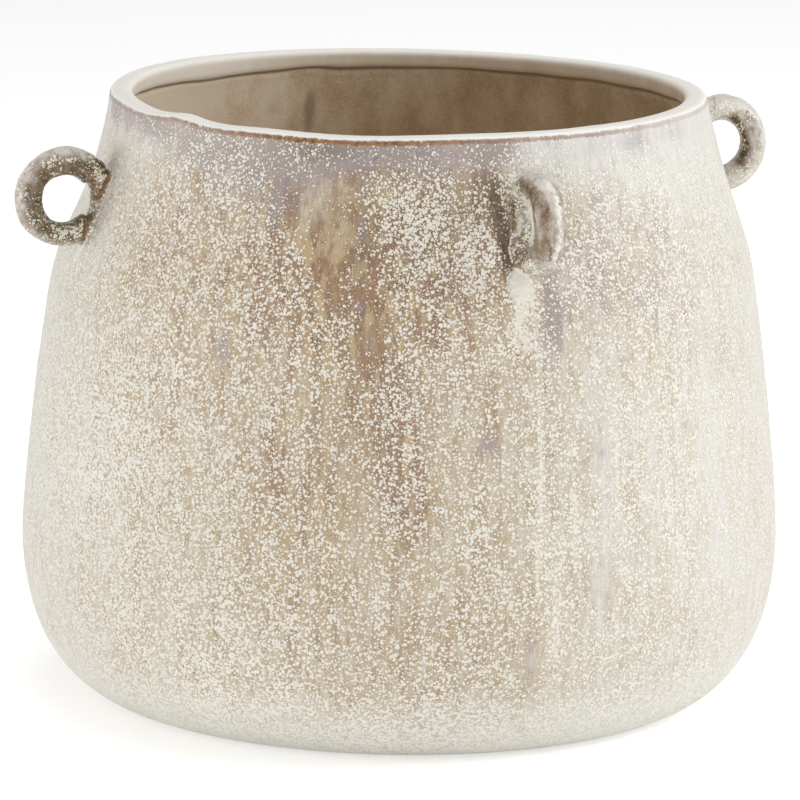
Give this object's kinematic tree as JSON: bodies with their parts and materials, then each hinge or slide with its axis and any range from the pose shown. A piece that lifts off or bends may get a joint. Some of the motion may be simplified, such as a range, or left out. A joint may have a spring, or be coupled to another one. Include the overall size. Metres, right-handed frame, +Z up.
{
  "type": "flower pot",
  "caption": "Round-bellied stoneware flower pot with a thickened lip and small ring handles set under the rim, in a speckled reactive glaze; holds soil, a plant or an inner pot.",
  "frame": {"origin": "middle of the base, on the surface that the pot stands on", "axes": "+Z up along the pot's own axis, the front ring handle on -Y, the right one on +X"},
  "size_m": [0.2613, 0.2594, 0.2],
  "materials": {
    "speckled_glaze": "satin reactive glaze, cream crystal speckles over taupe, matte inside and on the lip",
    "ring_glaze": "satin reactive glaze, dark taupe with cream flecks and rust in the creases"
  },
  "bodies": {
    "root": {"pot_body": "speckled_glaze", "front_ring_handle": "ring_glaze", "right_ring_handle": "ring_glaze", "back_ring_handle": "ring_glaze", "left_ring_handle": "ring_glaze"}
  },
  "joints": []
}
